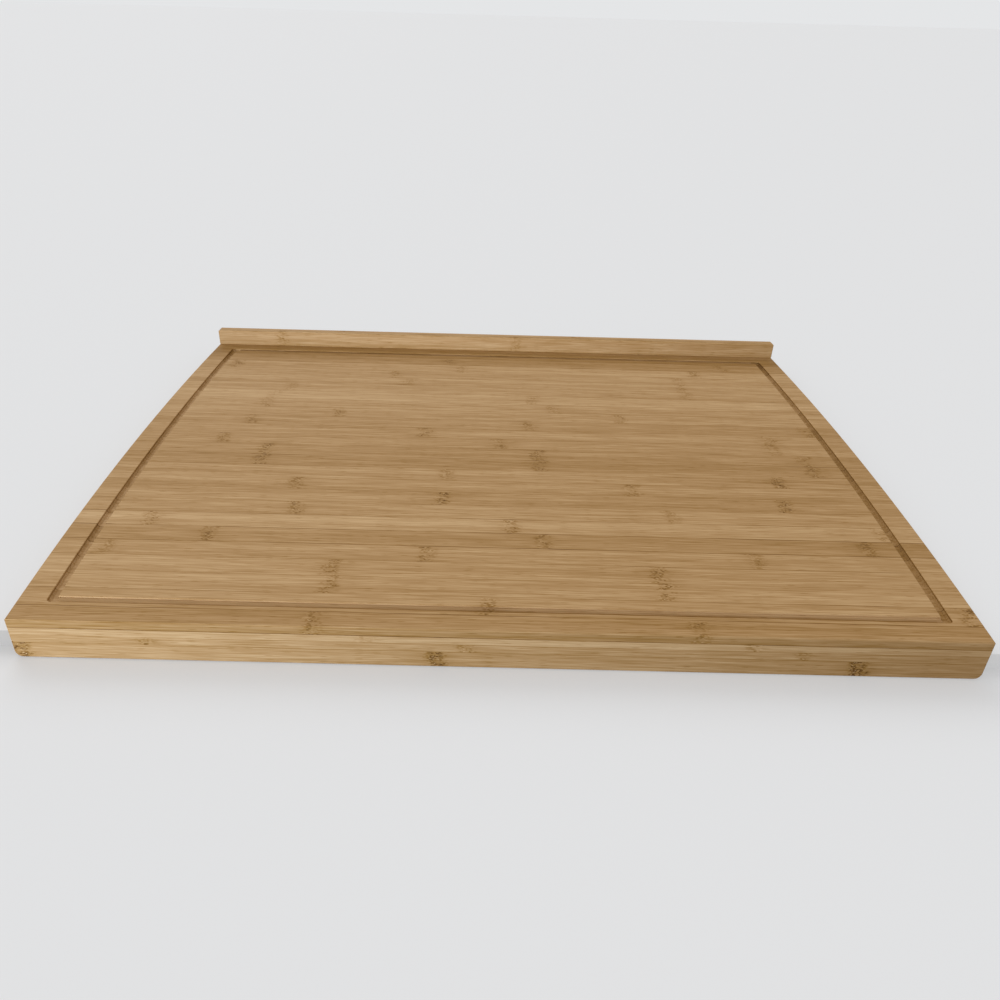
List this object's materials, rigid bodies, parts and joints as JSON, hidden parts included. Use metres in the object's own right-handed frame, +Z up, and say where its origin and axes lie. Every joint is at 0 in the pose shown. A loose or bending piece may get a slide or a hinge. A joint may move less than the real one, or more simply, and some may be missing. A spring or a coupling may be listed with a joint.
{
  "type": "pastry board",
  "caption": "Laminated bamboo pastry board with a front lip that hooks over the worktop edge, a low upstand along the back and a groove loop round the top.",
  "frame": {"origin": "middle of the panel's underside, the face that lies on the worktop", "axes": "+X along the front edge, to the right seen from the front; +Y from the front edge towards the upstand; +Z up"},
  "size_m": [0.6, 0.47, 0.0434],
  "materials": {
    "bamboo_top": "oiled satin",
    "bamboo_core": "oiled satin",
    "bamboo_base": "oiled satin",
    "bamboo_batten": "oiled satin"
  },
  "bodies": {
    "root": {"base_strip_01": "bamboo_base", "base_strip_02": "bamboo_base", "base_strip_03": "bamboo_base", "base_strip_04": "bamboo_base", "base_strip_05": "bamboo_base", "base_strip_06": "bamboo_base", "base_strip_07": "bamboo_base", "base_strip_08": "bamboo_base", "base_strip_09": "bamboo_base", "base_strip_10": "bamboo_base", "base_strip_11": "bamboo_base", "base_strip_12": "bamboo_base", "base_strip_13": "bamboo_base", "base_strip_14": "bamboo_base", "base_strip_15": "bamboo_base", "base_strip_16": "bamboo_base", "base_strip_17": "bamboo_base", "base_strip_18": "bamboo_base", "base_strip_19": "bamboo_base", "base_strip_20": "bamboo_base", "base_strip_21": "bamboo_base", "base_strip_22": "bamboo_base", "base_strip_23": "bamboo_base", "base_strip_24": "bamboo_base", "base_strip_25": "bamboo_base", "base_strip_26": "bamboo_base", "core_strips": "bamboo_core", "lip_back_strip": "bamboo_batten", "lip_front_strip": "bamboo_batten", "top_strip_01": "bamboo_top", "top_strip_02": "bamboo_top", "top_strip_03": "bamboo_top", "top_strip_04": "bamboo_top", "top_strip_05": "bamboo_top", "top_strip_06": "bamboo_top", "top_strip_07": "bamboo_top", "top_strip_08": "bamboo_top", "top_strip_09": "bamboo_top", "top_strip_10": "bamboo_top", "top_strip_11": "bamboo_top", "top_strip_12": "bamboo_top", "top_strip_13": "bamboo_top", "top_strip_14": "bamboo_top", "top_strip_15": "bamboo_top", "top_strip_16": "bamboo_top", "top_strip_17": "bamboo_top", "top_strip_18": "bamboo_top", "top_strip_19": "bamboo_top", "top_strip_20": "bamboo_top", "top_strip_21": "bamboo_top", "top_strip_22": "bamboo_top", "top_strip_23": "bamboo_top", "top_strip_24": "bamboo_top", "top_strip_25": "bamboo_top", "top_strip_26": "bamboo_top", "upstand_back_strip": "bamboo_batten", "upstand_front_strip": "bamboo_batten"}
  },
  "joints": []
}
